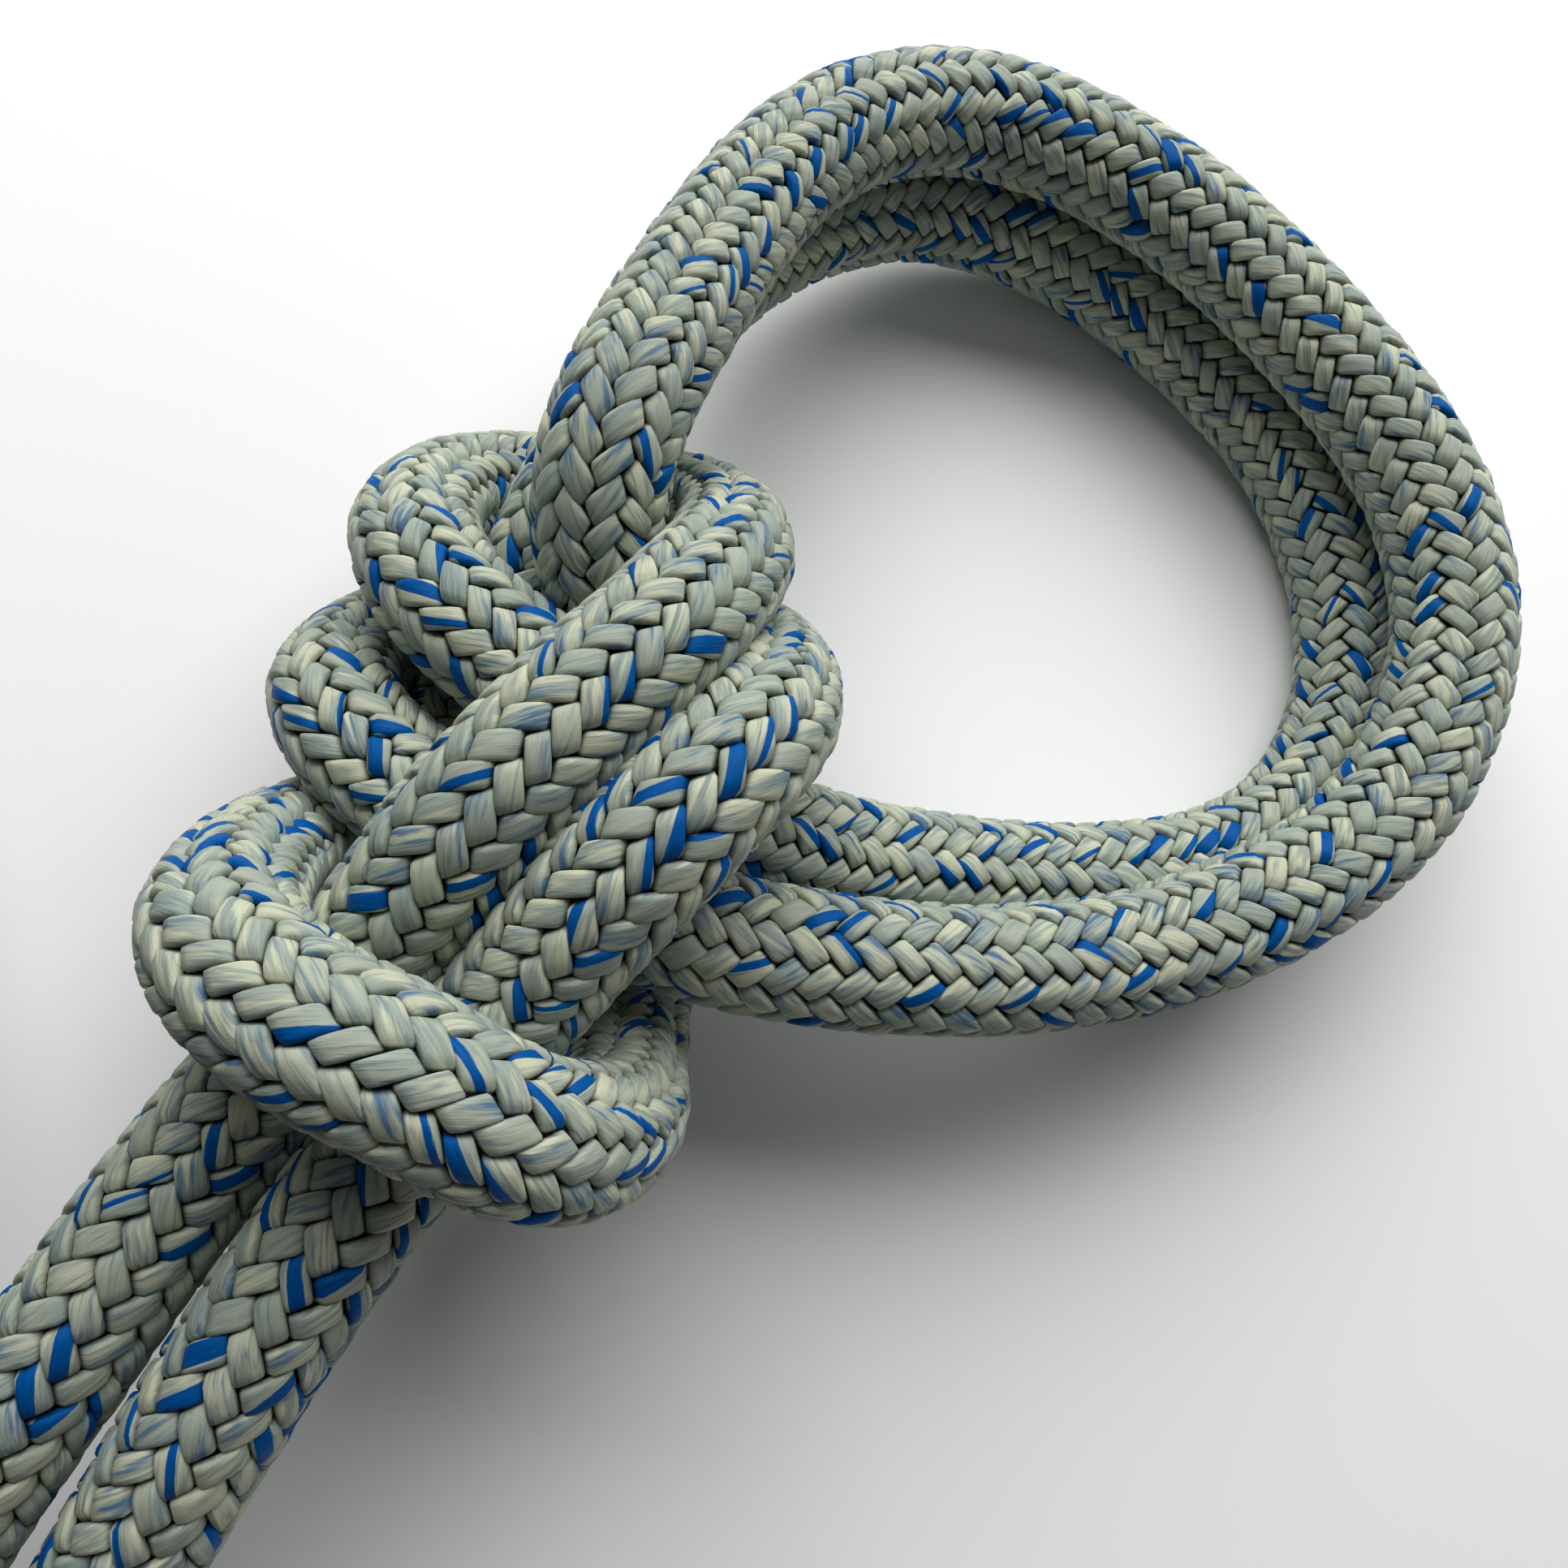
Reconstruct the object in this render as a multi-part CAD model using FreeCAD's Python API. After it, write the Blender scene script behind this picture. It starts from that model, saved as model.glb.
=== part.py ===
"""Climbing rope, tied in a double eye, with its spare length coiled and strapped.

The rope is one braided sheath over one core. Its route starts at the tail's
sealed end, makes the knot with its two eyes, leaves along the standing part and
ends in a coil. Each stretch of the route has a sheath solid and a core solid,
and neighbouring stretches meet face to face.

Frame in millimetres: the surface that the rope lies on is Z = 0, +Z is up, and
the origin is the middle of the two eyes on that surface. The eyes lie towards
+X and +Y of the knot, and the spare length lies towards -X and -Y.
"""
import FreeCAD, Part
import math
import os

# Rope
ROPE_DIAMETER = 10.5
SHEATH_WALL = 1.3
CORE_CLEARANCE = 0.05

# Depth of the flat where a stretch of the knot bears on the surface
REST_FLAT_DEPTH = 0.5

# Share of the shorter of its two runs that a bend takes up
BEND_SHARE = 0.45

# Coil of the spare length
COIL_CENTRE_X = -186.0
COIL_CENTRE_Y = -51.0
COIL_MEAN_RADIUS = 58.0
COIL_TURN_GAP = 0.7
COIL_LAYER_GAP = 0.7
COIL_TURNS_PER_LAYER = 3
COIL_LAYERS = 4
COIL_START_ANGLE = -90.0
COIL_ENTRY_RUN = 18.0
COIL_END_RUN = 33.0

# Straps that hold the coil
STRAP_WIDTH = 16.0
STRAP_THICKNESS = 1.2
STRAP_CLEARANCE = 0.3
STRAP_TONGUE_LENGTH = 26.0
STRAP_ANGLES = (150.0, -30.0)

# Sealed ends of the rope and their sleeves
END_SEAL_LENGTH = 2.0
END_SEAL_EDGE_RADIUS = 1.2
SLEEVE_LENGTH = 24.0
SLEEVE_WALL = 0.5
SLEEVE_CLEARANCE = 0.05
SLEEVE_SETBACK = 3.0

# Sizes that follow from those above
ROPE_RADIUS = ROPE_DIAMETER / 2.0
BORE_RADIUS = ROPE_RADIUS - SHEATH_WALL
CORE_RADIUS = BORE_RADIUS - CORE_CLEARANCE
REST_Z = ROPE_RADIUS - REST_FLAT_DEPTH
SLEEVE_BORE_RADIUS = ROPE_RADIUS + SLEEVE_CLEARANCE
SLEEVE_RADIUS = SLEEVE_BORE_RADIUS + SLEEVE_WALL
TURN_PITCH = ROPE_DIAMETER + COIL_TURN_GAP
LAYER_PITCH = ROPE_DIAMETER + COIL_LAYER_GAP
COIL_SPAN = TURN_PITCH * COIL_TURNS_PER_LAYER
COIL_OUTER_RADIUS = COIL_MEAN_RADIUS + COIL_SPAN / 2.0
COIL_INNER_RADIUS = COIL_MEAN_RADIUS - COIL_SPAN / 2.0
COIL_BASE_Z = STRAP_THICKNESS + STRAP_CLEARANCE + ROPE_RADIUS

# Points of the rope's route, from the tail's end to the coil, one list per stretch
TAIL_POINTS = [
    (-98.0, -129.0, SLEEVE_RADIUS), (-88.5, -111.0, 11.5), (-77.0, -92.0, 20.0),
    (-68.5, -78.0, 24.5), (-61.3, -66.7, 26.0), (-53.6, -56.3, 26.9),
]
LOWER_TURN_POINTS = [
    (-46.6, -47.8, 30.9), (-39.7, -40.8, 36.0), (-32.5, -33.2, 36.5), (-28.0, -26.9, 30.9),
    (-27.2, -19.7, 19.9), (-31.3, -13.5, 9.5), (-40.0, -11.5, REST_Z),
    (-51.0, -10.5, REST_Z), (-61.0, -12.0, 7.0), (-66.8, -18.0, 14.5), (-65.2, -25.4, 22.5),
    (-55.9, -33.5, 22.7), (-44.0, -40.0, 23.2),
]
OUTER_EYE_POINTS = [
    (-32.5, -44.0, 22.5), (-20.0, -46.0, 21.3), (-7.0, -46.5, 19.0), (7.0, -44.5, 17.0),
    (19.0, -40.0, 16.0), (29.0, -34.0, 15.7), (36.3, -25.1, 15.6), (40.9, -14.0, 15.6),
    (40.8, -1.8, 15.6), (36.2, 9.7, 15.6), (27.9, 20.9, 15.8), (17.8, 31.1, 16.5),
    (6.0, 38.3, 17.5), (-6.4, 41.4, 19.0), (-18.2, 37.5, 21.5), (-27.3, 28.4, 24.5),
    (-33.0, 17.5, 27.5), (-37.5, 7.0, 30.5), (-41.5, -3.0, 32.5),
]
COLLAR_POINTS = [
    (-43.2, -11.5, 27.4), (-39.9, -17.2, 18.8), (-38.0, -26.0, 12.0), (-37.5, -36.0, 9.0),
    (-40.0, -46.0, 8.5), (-40.3, -54.2, 15.0), (-39.8, -59.1, 26.1), (-45.1, -58.8, 36.9),
    (-52.8, -53.7, 41.0), (-60.6, -50.1, 40.6), (-67.6, -44.6, 36.1), (-69.9, -38.0, 23.3),
    (-66.0, -33.0, 12.3), (-58.3, -26.5, 10.2), (-52.8, -17.2, 14.3),
]
INNER_EYE_POINTS = [
    (-48.5, -9.0, 17.2), (-44.7, -0.5, 19.2), (-41.3, 9.0, 18.7), (-36.5, 18.5, 16.2),
    (-30.0, 28.0, 13.0), (-21.0, 35.0, 10.5), (-10.0, 39.0, 8.2), (2.0, 37.0, 6.8),
    (13.0, 31.0, 6.0), (22.0, 23.5, 5.2), (30.0, 14.5, REST_Z), (35.0, 4.0, REST_Z),
    (37.0, -8.0, REST_Z), (35.0, -19.0, REST_Z), (29.0, -29.0, 5.2), (19.0, -35.0, 6.0),
    (7.0, -37.0, 7.5), (-6.0, -37.0, 9.5), (-18.5, -36.0, 13.0),
]
UPPER_TURN_POINTS = [
    (-29.5, -34.0, 18.5), (-38.6, -29.1, 24.1), (-47.1, -23.1, 25.9), (-55.6, -16.1, 26.5),
    (-60.0, -8.0, 22.0), (-58.2, -0.7, 14.0), (-51.0, 3.0, 8.2), (-41.8, 3.0, 6.8),
    (-34.8, -0.5, 11.0), (-31.5, -6.0, 19.1), (-31.5, -12.8, 27.9), (-36.1, -20.8, 34.8),
    (-43.0, -28.5, 36.8), (-49.8, -35.7, 35.8),
]
STANDING_PART_POINTS = [
    (-55.6, -42.1, 31.4), (-62.2, -50.1, 25.7), (-70.6, -59.4, 24.3), (-77.9, -70.4, 24.0),
    (-86.1, -83.2, 22.5), (-95.2, -96.7, 17.5), (-106.8, -108.4, 12.0),
    (-121.2, -118.3, 8.5), (-138.0, -124.0, 7.0),
]


def vector(point):
    """Vector of a point given as three numbers."""
    return FreeCAD.Vector(*point)


def direction(first, second):
    """Unit vector from one point to another."""
    step = second.sub(first)
    return step.multiply(1.0 / step.Length)


def between(first, second, share):
    """Point at the given share of the way from one point to another."""
    return first + second.sub(first).multiply(share)


def coil_height(share):
    """Smooth rise from 0 to 1 over a climb."""
    return share * share * (3.0 - 2.0 * share)


def coil_place(turns):
    """Point of the coil's axis after a number of turns, counted from its start."""
    period = COIL_TURNS_PER_LAYER + 0.5
    layer = min(int(max(turns, 0.0) / period), COIL_LAYERS - 1)
    along = turns - layer * period
    inward = layer % 2 == 0
    height = COIL_BASE_Z + layer * LAYER_PITCH
    sign = -1.0 if inward else 1.0
    start_radius = COIL_OUTER_RADIUS if inward else COIL_INNER_RADIUS
    radius = start_radius + sign * TURN_PITCH * along
    if along > COIL_TURNS_PER_LAYER and layer < COIL_LAYERS - 1:
        share = (along - COIL_TURNS_PER_LAYER) / 0.5
        radius = start_radius + sign * (COIL_SPAN + TURN_PITCH / 2.0 * share * (1.0 - share))
        height = height + LAYER_PITCH * coil_height(share)
    angle = math.radians(COIL_START_ANGLE - 360.0 * turns)
    x = COIL_CENTRE_X + radius * math.cos(angle)
    y = COIL_CENTRE_Y + radius * math.sin(angle)
    return FreeCAD.Vector(x, y, height)


def coil_heading(turns):
    """Direction of the coil's axis after a number of turns."""
    step = 0.001
    return direction(coil_place(turns - step), coil_place(turns + step))


def arc_edge(start, corner, end):
    """Arc from start to end, tangent to the two equal lines that meet at the corner."""
    chord_middle = between(start, end, 0.5)
    half_chord = end.sub(start).Length / 2.0
    rise = corner.sub(chord_middle).Length
    half_turn = math.atan2(rise, half_chord)
    radius = half_chord / math.sin(half_turn)
    sagitta = radius * (1.0 - math.cos(half_turn))
    middle = between(chord_middle, corner, sagitta / rise)
    return Part.Arc(start, middle, end).toShape(), radius


def biarc_edges(start, start_heading, end, end_heading):
    """Two arcs that join two points with the given headings."""
    span = end.sub(start)
    total = start_heading + end_heading
    spread = 2.0 * (1.0 - start_heading.dot(end_heading))
    along = span.dot(total)
    reach = (math.sqrt(along * along + spread * span.dot(span)) - along) / spread
    first_corner = start + start_heading * reach
    second_corner = end - end_heading * reach
    joint = between(first_corner, second_corner, 0.5)
    first, first_radius = arc_edge(start, first_corner, joint)
    second, second_radius = arc_edge(joint, second_corner, end)
    return [first, second], [first_radius, second_radius]


def stretch_edges(before, points, after):
    """Straight runs and tangent arcs of one stretch, and the radius of each arc.

    A stretch starts and ends halfway along the runs that it shares with the
    stretches beside it, or at its own end point where it has no neighbour.
    """
    chain = [before] + points + [after]
    start = between(before, points[0], 0.5) if before else points[0]
    end = between(points[-1], after, 0.5) if after else points[-1]
    edges = []
    radii = []
    place = start
    for index in range(1, len(chain) - 1):
        if chain[index - 1] is None or chain[index + 1] is None:
            continue
        corner = chain[index]
        heading_in = direction(chain[index - 1], corner)
        heading_out = direction(corner, chain[index + 1])
        run_in = corner.sub(chain[index - 1]).Length
        run_out = chain[index + 1].sub(corner).Length
        setback = BEND_SHARE * min(run_in, run_out)
        arc_start = corner - heading_in * setback
        arc_end = corner + heading_out * setback
        edges.append(Part.LineSegment(place, arc_start).toShape())
        arc, radius = arc_edge(arc_start, corner, arc_end)
        edges.append(arc)
        radii.append(radius)
        place = arc_end
    edges.append(Part.LineSegment(place, end).toShape())
    return edges, radii


def swept(edges, radius):
    """Solid of a round section swept along a path."""
    start = edges[0].valueAt(edges[0].FirstParameter)
    heading = edges[0].tangentAt(edges[0].FirstParameter)
    section = Part.Wire([Part.makeCircle(radius, start, heading)])
    return Part.Wire(edges).makePipeShell([section], True, False)


def rope_solids(edges):
    """Sheath and core solids of one stretch of rope, clear of the surface below."""
    outside = swept(edges, ROPE_RADIUS)
    sheath = outside.cut(swept(edges, BORE_RADIUS))
    core = swept(edges, CORE_RADIUS)
    if outside.BoundBox.ZMin < -0.001:
        box = outside.BoundBox
        depth = ROPE_DIAMETER
        corner = FreeCAD.Vector(box.XMin - depth, box.YMin - depth, -depth)
        below = Part.makeBox(box.XLength + 2.0 * depth, box.YLength + 2.0 * depth, depth, corner)
        sheath = sheath.cut(below)
    return sheath, core


def piece_of_path(edges, skip, length):
    """Edges of a path from a distance along it, over a given length."""
    pieces = []
    for edge in edges:
        start = max(skip, 0.0)
        end = min(skip + length, edge.Length)
        if start < edge.Length and end > start:
            first = edge.getParameterByLength(start)
            last = edge.getParameterByLength(end)
            pieces.append(edge.Curve.toShape(first, last))
        skip = skip - edge.Length
    return pieces


def end_sleeve(edges):
    """Sleeve over the rope next to an end, given the path that leads away from that end."""
    seat = piece_of_path(edges, SLEEVE_SETBACK, SLEEVE_LENGTH)
    return swept(seat, SLEEVE_RADIUS).cut(swept(seat, SLEEVE_BORE_RADIUS))


def end_seal(place, outward):
    """Melted cap that closes the rope's end."""
    cap = Part.makeCylinder(ROPE_RADIUS, END_SEAL_LENGTH, place, outward)
    rim = place + outward * END_SEAL_LENGTH
    for edge in cap.Edges:
        if edge.Closed and edge.CenterOfMass.sub(rim).Length < END_SEAL_LENGTH / 2.0:
            return cap.makeFillet(END_SEAL_EDGE_RADIUS, [edge])
    return cap


def rounded_outline(low, high, radius, place, across):
    """Closed wire of a rounded rectangle, in the plane of the across and up directions."""
    up = FreeCAD.Vector(0.0, 0.0, 1.0)

    def at(x, z):
        return place + across * x + up * z

    diagonal = radius * (1.0 - math.sqrt(0.5))
    corners = []
    for sign_x, sign_z in ((1, -1), (1, 1), (-1, 1), (-1, -1)):
        x = high[0] if sign_x > 0 else low[0]
        z = high[1] if sign_z > 0 else low[1]
        beside = at(x - sign_x * radius, z)
        above = at(x, z - sign_z * radius)
        middle = at(x - sign_x * diagonal, z - sign_z * diagonal)
        ends = (beside, above) if sign_x * sign_z < 0 else (above, beside)
        corners.append((ends[0], middle, ends[1]))
    edges = []
    for index, corner in enumerate(corners):
        edges.append(Part.Arc(*corner).toShape())
        edges.append(Part.LineSegment(corner[2], corners[(index + 1) % 4][0]).toShape())
    return Part.Wire(edges)


def strap(angle, axis_points):
    """Strap round the coil's section at the given angle, with its tongue lapped outside."""
    across = FreeCAD.Vector(math.cos(math.radians(angle)), math.sin(math.radians(angle)), 0.0)
    along = FreeCAD.Vector(-across.y, across.x, 0.0)
    centre = FreeCAD.Vector(COIL_CENTRE_X, COIL_CENTRE_Y, 0.0)
    reach = STRAP_WIDTH / 2.0 + ROPE_RADIUS
    near = []
    for point in axis_points:
        offset = point.sub(centre)
        if abs(offset.dot(along)) <= reach and offset.dot(across) > 0.0:
            near.append((offset.dot(across), point.z))
    margin = ROPE_RADIUS + STRAP_CLEARANCE
    low = (min(x for x, z in near) - margin, STRAP_THICKNESS)
    high = (max(x for x, z in near) + margin, max(z for x, z in near) + margin)
    outer_low = (low[0] - STRAP_THICKNESS, low[1] - STRAP_THICKNESS)
    outer_high = (high[0] + STRAP_THICKNESS, high[1] + STRAP_THICKNESS)
    place = centre - along * (STRAP_WIDTH / 2.0)
    outside = rounded_outline(outer_low, outer_high, margin + STRAP_THICKNESS, place, across)
    inside = rounded_outline(low, high, margin, place, across)
    width = along * STRAP_WIDTH
    band = Part.Face(outside).extrude(width).cut(Part.Face(inside).extrude(width))
    tongue_low = outer_high[1] - margin - STRAP_TONGUE_LENGTH
    tongue_corner = place + across * outer_high[0] + FreeCAD.Vector(0.0, 0.0, tongue_low)
    tongue_edges = []
    outline = [
        tongue_corner,
        tongue_corner + across * STRAP_THICKNESS,
        tongue_corner + across * STRAP_THICKNESS + FreeCAD.Vector(0.0, 0.0, STRAP_TONGUE_LENGTH),
        tongue_corner + FreeCAD.Vector(0.0, 0.0, STRAP_TONGUE_LENGTH),
    ]
    for index, corner in enumerate(outline):
        tongue_edges.append(Part.LineSegment(corner, outline[(index + 1) % 4]).toShape())
    tongue = Part.Face(Part.Wire(tongue_edges)).extrude(width)
    return band.fuse(tongue).removeSplitter()


def sampled(edges, step):
    """Points along a path, about one step apart."""
    points = []
    for edge in edges:
        count = max(2, int(edge.Length / step) + 1)
        points.extend(edge.discretize(Number=count)[:-1])
    return points


def least_gap(points, step, skip_length):
    """Least gap between parts of a tube that lie further apart along it than skip_length."""
    skip = int(skip_length / step)
    least = None
    for index, point in enumerate(points):
        for other in points[index + skip:]:
            distance = point.sub(other)
            square = distance.dot(distance)
            if least is None or square < least:
                least = square
    return math.sqrt(least) - ROPE_DIAMETER


def save(name, shape):
    """Write one piece to its own file."""
    solid = shape.Solids[0]
    count = len(shape.Solids)
    if count != 1 or not solid.isValid():
        print("problem", name, "solids", count, "valid", solid.isValid())
    solid.exportStep("parts/" + name + ".step")


os.makedirs("parts", exist_ok=True)

# Where the coil starts, and the two points that lead straight into it
coil_start = coil_place(0.0)
entry_heading = coil_heading(0.002)
coil_face = coil_start - entry_heading * ROPE_DIAMETER
coil_lead = coil_face - entry_heading * COIL_ENTRY_RUN

# Stretches of the route in order
stretches = [
    ("tail", [vector(point) for point in TAIL_POINTS]),
    ("lower_turn", [vector(point) for point in LOWER_TURN_POINTS]),
    ("outer_eye", [vector(point) for point in OUTER_EYE_POINTS]),
    ("collar", [vector(point) for point in COLLAR_POINTS]),
    ("inner_eye", [vector(point) for point in INNER_EYE_POINTS]),
    ("upper_turn", [vector(point) for point in UPPER_TURN_POINTS]),
    ("standing_part", [vector(point) for point in STANDING_PART_POINTS] + [coil_lead, coil_face]),
]
section_area = math.pi * ROPE_RADIUS ** 2
wall_area = section_area - math.pi * BORE_RADIUS ** 2
rope_length = 0.0

for index, (name, points) in enumerate(stretches):
    before = stretches[index - 1][1][-1] if index > 0 else None
    after = stretches[index + 1][1][0] if index + 1 < len(stretches) else None
    edges, radii = stretch_edges(before, points, after)
    sheath, core = rope_solids(edges)
    save(name + "_sheath", sheath)
    save(name + "_core", core)
    length = sum(edge.Length for edge in edges)
    rope_length = rope_length + length
    share = sheath.Volume / (wall_area * length)
    print(name, "length", round(length, 1), "volume share", round(share, 4))
    print(name, "radii", " ".join(str(round(radius, 1)) for radius in radii))
    if name == "tail":
        save("tail_end_sleeve", end_sleeve(edges))
        save("tail_end_seal", end_seal(points[0], direction(points[1], points[0])))

# Coil, wound in quarter turns
coil_turns = COIL_LAYERS * COIL_TURNS_PER_LAYER + (COIL_LAYERS - 1) * 0.5
quarters = int(round(coil_turns * 4))
places = [coil_place(quarter / 4.0) for quarter in range(quarters + 1)]
headings = [coil_heading(quarter / 4.0) for quarter in range(quarters + 1)]
headings[0] = entry_heading
coil_edges = [Part.LineSegment(coil_face, coil_start).toShape()]
coil_radii = []
for quarter in range(quarters):
    edges, radii = biarc_edges(
        places[quarter], headings[quarter], places[quarter + 1], headings[quarter + 1])
    coil_edges.extend(edges)
    coil_radii.extend(radii)
coil_end = places[-1] + headings[-1] * COIL_END_RUN
coil_edges.append(Part.LineSegment(places[-1], coil_end).toShape())
coil_sheath, coil_core = rope_solids(coil_edges)
save("coil_sheath", coil_sheath)
save("coil_core", coil_core)
coil_length = sum(edge.Length for edge in coil_edges)
rope_length = rope_length + coil_length
SAMPLE_STEP = 4.0
coil_points = sampled(coil_edges, SAMPLE_STEP)
coil_gap = least_gap(coil_points, SAMPLE_STEP, COIL_INNER_RADIUS)
share = coil_sheath.Volume / (wall_area * coil_length)
print("coil length", round(coil_length, 1), "turns", coil_turns, "volume share", round(share, 4))
print("coil radii from", round(min(coil_radii), 1), "to", round(max(coil_radii), 1))
print("coil least gap to itself", round(coil_gap, 3))
print("rope length", round(rope_length, 1))

# Free end on top of the coil
inward = [Part.LineSegment(coil_end, places[-1]).toShape()]
save("coil_end_sleeve", end_sleeve(inward))
save("coil_end_seal", end_seal(coil_end, headings[-1]))

# Straps
for number, angle in enumerate(STRAP_ANGLES, start=1):
    save("coil_strap_" + str(number), strap(angle, coil_points))
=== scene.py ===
"""Looks of a braided climbing rope: its double-eyed knot, both ends and the coiled spare length."""
import collections
import functools
import math

import bmesh
import bpy
import numpy as np
from bpy.props import FloatProperty, FloatVectorProperty, IntProperty
from bpy.props import PointerProperty, StringProperty
from mathutils import Matrix, Vector, noise


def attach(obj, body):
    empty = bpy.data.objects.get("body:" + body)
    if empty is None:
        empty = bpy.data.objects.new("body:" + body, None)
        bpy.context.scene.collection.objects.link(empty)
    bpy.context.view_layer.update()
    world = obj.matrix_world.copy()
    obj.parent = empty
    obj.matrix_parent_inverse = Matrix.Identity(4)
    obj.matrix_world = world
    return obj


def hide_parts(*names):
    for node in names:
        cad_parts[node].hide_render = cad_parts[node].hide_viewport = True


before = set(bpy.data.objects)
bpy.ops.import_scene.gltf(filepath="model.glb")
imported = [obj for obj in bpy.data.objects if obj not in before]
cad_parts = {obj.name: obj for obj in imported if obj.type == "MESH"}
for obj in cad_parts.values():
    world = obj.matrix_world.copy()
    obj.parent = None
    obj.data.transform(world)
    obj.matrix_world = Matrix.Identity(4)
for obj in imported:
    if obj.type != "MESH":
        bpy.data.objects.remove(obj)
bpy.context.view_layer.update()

bl_info = {
    "name": "Braided climbing rope",
    "version": (1, 0, 0),
    "blender": (4, 5, 0),
    "location": "3D View > Sidebar > Rope",
    "description": "Builds the braid, sleeves, straps and stage round the rope's solids",
    "category": "Add Mesh",
}

# Route of the rope in millimetres, from the tail's end to the coil, one list per stretch
ROUTE = [
    ("tail", [
        (-98, -129, 5.8), (-88.5, -111, 11.5), (-77, -92, 20), (-68.5, -78, 24.5),
        (-61.3, -66.7, 26), (-53.6, -56.3, 26.9)]),
    ("lower_turn", [
        (-46.6, -47.8, 30.9), (-39.7, -40.8, 36), (-32.5, -33.2, 36.5), (-28, -26.9, 30.9),
        (-27.2, -19.7, 19.9), (-31.3, -13.5, 9.5), (-40, -11.5, 4.75), (-51, -10.5, 4.75),
        (-61, -12, 7), (-66.8, -18, 14.5), (-65.2, -25.4, 22.5), (-55.9, -33.5, 22.7),
        (-44, -40, 23.2)]),
    ("outer_eye", [
        (-32.5, -44, 22.5), (-20, -46, 21.3), (-7, -46.5, 19), (7, -44.5, 17), (19, -40, 16),
        (29, -34, 15.7), (36.3, -25.1, 15.6), (40.9, -14, 15.6), (40.8, -1.8, 15.6),
        (36.2, 9.7, 15.6), (27.9, 20.9, 15.8), (17.8, 31.1, 16.5), (6, 38.3, 17.5),
        (-6.4, 41.4, 19), (-18.2, 37.5, 21.5), (-27.3, 28.4, 24.5), (-33, 17.5, 27.5),
        (-37.5, 7, 30.5), (-41.5, -3, 32.5)]),
    ("collar", [
        (-43.2, -11.5, 27.4), (-39.9, -17.2, 18.8), (-38, -26, 12), (-37.5, -36, 9),
        (-40, -46, 8.5), (-40.3, -54.2, 15), (-39.8, -59.1, 26.1), (-45.1, -58.8, 36.9),
        (-52.8, -53.7, 41), (-60.6, -50.1, 40.6), (-67.6, -44.6, 36.1), (-69.9, -38, 23.3),
        (-66, -33, 12.3), (-58.3, -26.5, 10.2), (-52.8, -17.2, 14.3)]),
    ("inner_eye", [
        (-48.5, -9, 17.2), (-44.7, -0.5, 19.2), (-41.3, 9, 18.7), (-36.5, 18.5, 16.2),
        (-30, 28, 13), (-21, 35, 10.5), (-10, 39, 8.2), (2, 37, 6.8), (13, 31, 6), (22, 23.5, 5.2),
        (30, 14.5, 4.75), (35, 4, 4.75), (37, -8, 4.75), (35, -19, 4.75), (29, -29, 5.2),
        (19, -35, 6), (7, -37, 7.5), (-6, -37, 9.5), (-18.5, -36, 13)]),
    ("upper_turn", [
        (-29.5, -34, 18.5), (-38.6, -29.1, 24.1), (-47.1, -23.1, 25.9), (-55.6, -16.1, 26.5),
        (-60, -8, 22), (-58.2, -0.7, 14), (-51, 3, 8.2), (-41.8, 3, 6.8), (-34.8, -0.5, 11),
        (-31.5, -6, 19.1), (-31.5, -12.8, 27.9), (-36.1, -20.8, 34.8), (-43, -28.5, 36.8),
        (-49.8, -35.7, 35.8)]),
    ("standing_part", [
        (-55.6, -42.1, 31.4), (-62.2, -50.1, 25.7), (-70.6, -59.4, 24.3), (-77.9, -70.4, 24),
        (-86.1, -83.2, 22.5), (-95.2, -96.7, 17.5), (-106.8, -108.4, 12), (-121.2, -118.3, 8.5),
        (-138, -124, 7)]),
]

# Coil of the spare length, in metres and turns
COIL_CENTRE = (-0.186, -0.051)
COIL_PITCH = 0.0112
COIL_LAYERS = 4
LAYER_TURNS = 3
COIL_RADIUS = 0.058
COIL_BASE_Z = 0.00675
COIL_START_ANGLE = -90.0
COIL_RISE_TURNS = 0.5
COIL_TURNS = COIL_LAYERS * LAYER_TURNS + (COIL_LAYERS - 1) * COIL_RISE_TURNS
COIL_LEAD = 0.0285
COIL_END_RUN = 0.033
COIL_POINTS_PER_TURN = 16
COIL_PIECES = 5
# Turns before and after a place between which its direction is taken
HEADING_STEP = 0.001

STRAP_ANGLES = (150.0, -30.0)

# Distance along the rope, and the length of rope there in which a yarn goes round once:
# long where the rope is loaded, short in the bends of the knot
LAY = ((0.082, 0.0345), (0.106, 0.0286), (0.228, 0.0286), (0.252, 0.033), (0.41, 0.033),
       (0.44, 0.0286), (0.466, 0.0286), (0.49, 0.0274), (0.627, 0.0274), (0.652, 0.033),
       (0.848, 0.033), (0.872, 0.0286), (0.993, 0.0286), (1.017, 0.0345), (1.158, 0.0345),
       (1.182, 0.033))

ROPE_DIAMETER = 0.0105
SAMPLE_STEP = 0.0005
# Distances under which two points of the route are one, and a seam closes
SAME_PLACE, SEAM_WIDTH = 1e-9, 1e-6
PATH_STEP = 0.002
CURVE_STEPS = 20

# Distances from an end at which the rope leaves its sleeve and has its free girth, and the run
# before the coil in which it grows thinner again
SLEEVED_RUN, FREE_FROM, COIL_RUN_IN = 0.028, 0.034, 0.05
# Height below which points are eased onto the floor
FLOOR_EASE = 0.0009

# Crossings from one float of a yarn to its next, and floats drawn beyond a yarn's length
FLOAT_SPAN, SPARE_FLOATS = 4.0, 4
BRAID_SEED = 11
# Width of a yarn under others, as a share of its width on top
HIDDEN_WIDTH = 0.9
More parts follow.
